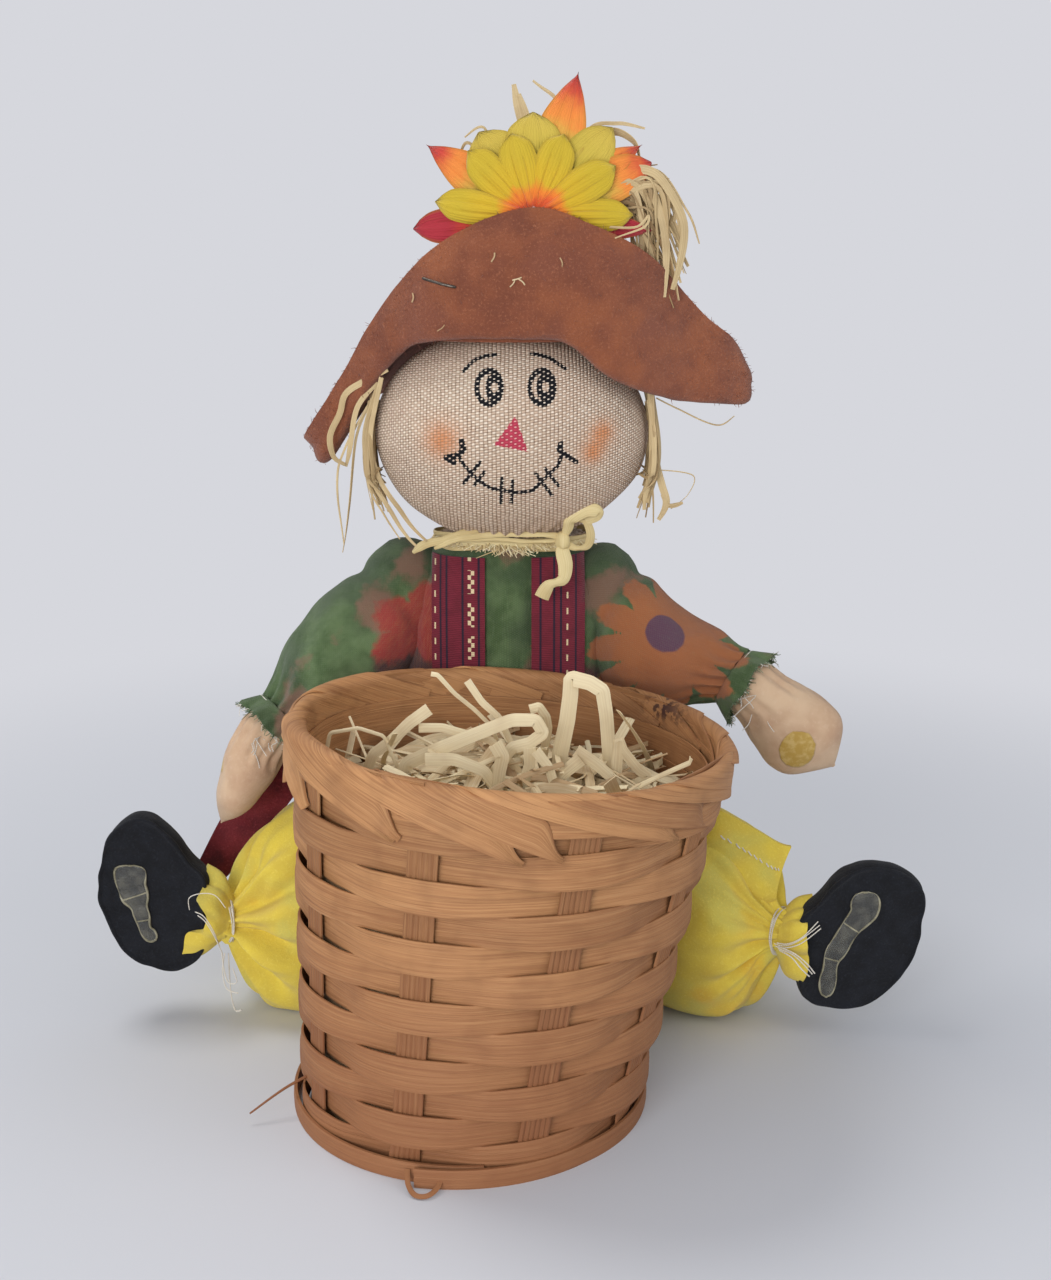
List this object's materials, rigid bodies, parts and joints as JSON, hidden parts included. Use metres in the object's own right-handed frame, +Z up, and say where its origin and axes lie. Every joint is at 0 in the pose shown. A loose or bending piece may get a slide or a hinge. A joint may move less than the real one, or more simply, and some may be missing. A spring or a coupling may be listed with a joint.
{
  "type": "scarecrow doll",
  "caption": "Seated stuffed scarecrow doll with a burlap head and a felt hat, holding a woven splint basket of straw between its legs; head, arms, hands, legs and feet move",
  "frame": {"origin": "middle of the flat patch under the stuffed seat, on the surface that the doll sits on", "axes": "+Z up, the doll faces -Y, its left side in a front view is -X"},
  "size_m": [0.3052, 0.221, 0.3398],
  "materials": {
    "burlap": "coarse plain-woven burlap",
    "shirt_cotton": "green printed cotton",
    "suspender_ribbon": "woven ribbon with cream dashes",
    "trouser_felt": "thin yellow felt, stuffed",
    "hat_felt": "fuzzy rust-brown felt",
    "hand_cloth": "cream cloth, stuffed",
    "shoe_felt": "black felt, stuffed",
    "tail_felt": "maroon felt",
    "thread": "white cotton thread",
    "raffia": "dry raffia strands",
    "straw": "shredded straw ribbons",
    "petal_orange": "printed satin cloth petals",
    "petal_yellow": "printed satin cloth petals",
    "splint": "bare bamboo splint",
    "staple_wire": "dull steel wire"
  },
  "bodies": {
    "root": {"torso": "shirt_cotton", "trousers_seat": "trouser_felt", "neck_gather": "burlap", "neck_tie": "raffia", "left_suspender": "suspender_ribbon", "right_suspender": "suspender_ribbon", "left_suspender_back": "suspender_ribbon", "right_suspender_back": "suspender_ribbon", "basket_stakes": "splint", "basket_weaver": "splint", "basket_foot_hoop": "splint", "basket_border": "splint", "basket_floor": "splint", "straw_fill": "straw"},
    "head": {"head": "burlap", "hat_crown": "hat_felt", "hat_brim": "hat_felt", "hat_staple": "staple_wire", "flower_outer_petals": "petal_orange", "flower_inner_petals": "petal_yellow", "hat_raffia": "raffia", "left_hair": "raffia", "right_hair": "raffia"},
    "left_arm": {"left_sleeve": "shirt_cotton", "left_cuff": "shirt_cotton", "left_wrist_thread": "thread"},
    "left_hand": {"left_hand": "hand_cloth"},
    "left_leg": {"left_leg": "trouser_felt", "left_ankle_thread": "thread", "felt_tail": "tail_felt"},
    "left_foot": {"left_trouser_hem": "trouser_felt", "left_shoe": "shoe_felt"},
    "right_arm": {"right_sleeve": "shirt_cotton", "right_cuff": "shirt_cotton", "right_wrist_thread": "thread"},
    "right_hand": {"right_hand": "hand_cloth"},
    "right_leg": {"right_leg": "trouser_felt", "right_ankle_thread": "thread", "right_trouser_flap": "trouser_felt"},
    "right_foot": {"right_trouser_hem": "trouser_felt", "right_shoe": "shoe_felt"}
  },
  "joints": [
    {"name": "head_turn", "type": "hinge", "parent": "root", "child": "head", "pos_m": [0.0005, -0.018, 0.181], "axis": [0, 0, 1], "range_deg": [-25, 25]},
    {"name": "left_shoulder", "type": "hinge", "parent": "root", "child": "left_arm", "pos_m": [-0.037, -0.002, 0.158], "axis": [0, 1, 0], "range_deg": [0, 30]},
    {"name": "left_wrist", "type": "hinge", "parent": "left_arm", "child": "left_hand", "pos_m": [-0.093, -0.028, 0.106], "axis": [0, 1, 0], "range_deg": [0, 12]},
    {"name": "left_hip", "type": "hinge", "parent": "root", "child": "left_leg", "pos_m": [-0.029, -0.004, 0.034], "axis": [0, 0, -1], "range_deg": [-4, 20]},
    {"name": "left_ankle", "type": "hinge", "parent": "left_leg", "child": "left_foot", "pos_m": [-0.108, -0.042, 0.038], "axis": [0, 1, 0], "range_deg": [-10, 10]},
    {"name": "right_shoulder", "type": "hinge", "parent": "root", "child": "right_arm", "pos_m": [0.034, -0.002, 0.158], "axis": [0, -1, 0], "range_deg": [-5, 30]},
    {"name": "right_wrist", "type": "hinge", "parent": "right_arm", "child": "right_hand", "pos_m": [0.091, -0.028, 0.123], "axis": [0, -1, 0], "range_deg": [-12, 12]},
    {"name": "right_hip", "type": "hinge", "parent": "root", "child": "right_leg", "pos_m": [0.029, -0.004, 0.034], "axis": [0, 0, 1], "range_deg": [-4, 20]},
    {"name": "right_ankle", "type": "hinge", "parent": "right_leg", "child": "right_foot", "pos_m": [0.1, -0.054, 0.038], "axis": [0, -1, 0], "range_deg": [-10, 10]}
  ]
}
